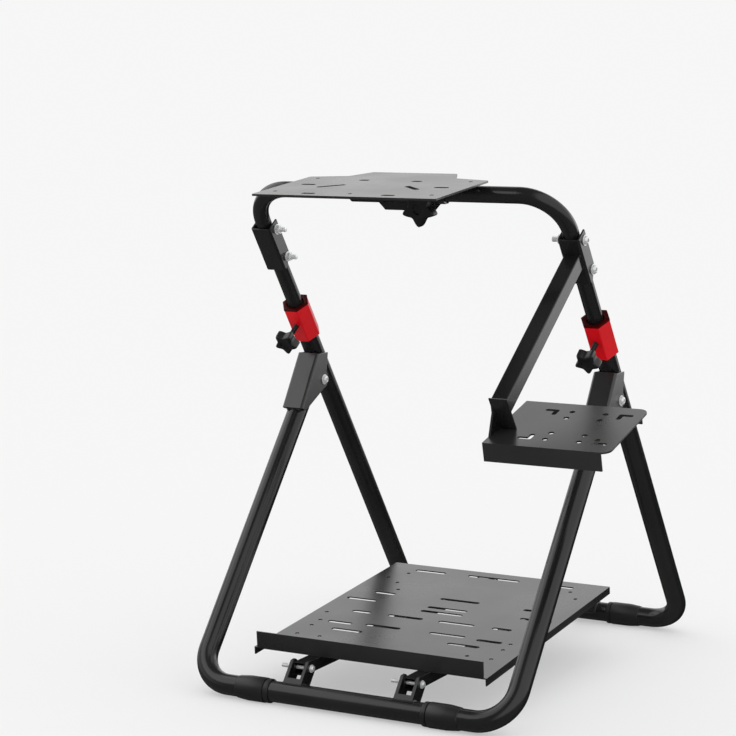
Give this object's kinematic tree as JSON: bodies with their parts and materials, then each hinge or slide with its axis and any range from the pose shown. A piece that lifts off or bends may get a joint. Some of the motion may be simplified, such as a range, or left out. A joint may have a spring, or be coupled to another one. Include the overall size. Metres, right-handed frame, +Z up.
{
  "type": "racing wheel stand",
  "caption": "Folding tube stand for a racing game: a tilting plate for the wheel on a height-adjustable frame, a slotted pedal deck between the legs and a plate for a shifter.",
  "frame": {"origin": "on the floor, in the mid-plane of the legs, halfway between the front and rear cross tubes", "axes": "+Z up, +X to the driver's right, +Y from the driver towards the rear of the stand"},
  "size_m": [0.7227, 0.7853, 0.7886],
  "materials": {
    "frame_paint": "satin black powder coat",
    "sheet_paint": "satin black powder coat on folded sheet",
    "red_collar": "satin red",
    "foot_sleeve": "matt black moulded sleeve",
    "black_knob": "black moulded star knob on a steel screw",
    "zinc_bolt": "bright zinc-plated steel"
  },
  "bodies": {
    "rear_frame": {"rear_left_leg": "frame_paint", "rear_right_leg": "frame_paint", "rear_cross_tube": "frame_paint", "rear_left_foot": "foot_sleeve", "rear_right_foot": "foot_sleeve", "left_collar": "red_collar", "right_collar": "red_collar", "left_pivot_lug": "frame_paint", "right_pivot_lug": "frame_paint", "rear_left_clevis": "frame_paint", "rear_right_clevis": "frame_paint", "rear_left_rail_pin": "zinc_bolt", "rear_right_rail_pin": "zinc_bolt"},
    "front_frame": {"front_left_leg": "frame_paint", "front_right_leg": "frame_paint", "front_cross_tube": "frame_paint", "front_left_foot": "foot_sleeve", "front_right_foot": "foot_sleeve", "left_leg_bracket": "frame_paint", "right_leg_bracket": "frame_paint", "left_pivot_bolt": "zinc_bolt", "right_pivot_bolt": "zinc_bolt", "front_left_clevis": "frame_paint", "front_right_clevis": "frame_paint", "front_left_rail_pin": "zinc_bolt", "front_right_rail_pin": "zinc_bolt"},
    "pedal_deck": {"pedal_deck": "sheet_paint", "left_rail": "frame_paint", "right_rail": "frame_paint", "left_deck_riser": "frame_paint", "right_deck_riser": "frame_paint"},
    "upper_frame": {"upper_tube": "frame_paint", "left_shifter_clamp": "frame_paint", "right_shifter_clamp": "frame_paint", "shifter_arm": "frame_paint", "shifter_bracket": "frame_paint", "shifter_plate": "sheet_paint"},
    "wheel_deck": {"wheel_plate": "sheet_paint", "wheel_saddle": "frame_paint", "wheel_clamp": "frame_paint"},
    "left_height_knob": {"left_height_knob": "black_knob"},
    "right_height_knob": {"right_height_knob": "black_knob"},
    "wheel_knob": {"wheel_knob": "black_knob"}
  },
  "joints": [
    {"name": "front_fold", "type": "hinge", "parent": "rear_frame", "child": "front_frame", "pos_m": [0, 0.00976, 0.44076], "axis": [1, 0, 0], "range_deg": [0, 75.3]},
    {"name": "deck_fold", "type": "hinge", "parent": "front_frame", "child": "pedal_deck", "pos_m": [0, -0.32393, 0.0525], "axis": [1, 0, 0], "range_deg": [0, 50.7]},
    {"name": "height_slide", "type": "slide", "parent": "rear_frame", "child": "upper_frame", "axis": [0, -0.5878, 0.809], "range_m": [-0.075, 0.09]},
    {"name": "wheel_tilt", "type": "hinge", "parent": "upper_frame", "child": "wheel_deck", "pos_m": [0, -0.18819, 0.7617], "axis": [1, 0, 0], "range_deg": [-15, 45]},
    {"name": "left_height_knob_turn", "type": "hinge", "parent": "rear_frame", "child": "left_height_knob", "pos_m": [-0.261, -0.03066, 0.54489], "axis": [0, -0.809, -0.5878], "range_deg": [0, 360]},
    {"name": "right_height_knob_turn", "type": "hinge", "parent": "rear_frame", "child": "right_height_knob", "pos_m": [0.261, -0.03066, 0.54489], "axis": [0, -0.809, -0.5878], "range_deg": [0, 360]},
    {"name": "wheel_knob_turn", "type": "hinge", "parent": "wheel_deck", "child": "wheel_knob", "pos_m": [0.0477, -0.18616, 0.74301], "axis": [0, -0.9942, -0.108], "range_deg": [0, 360]}
  ],
  "couplings": [
    {"joint": "deck_fold", "follows": "front_fold", "ratio": 0.67331}
  ]
}
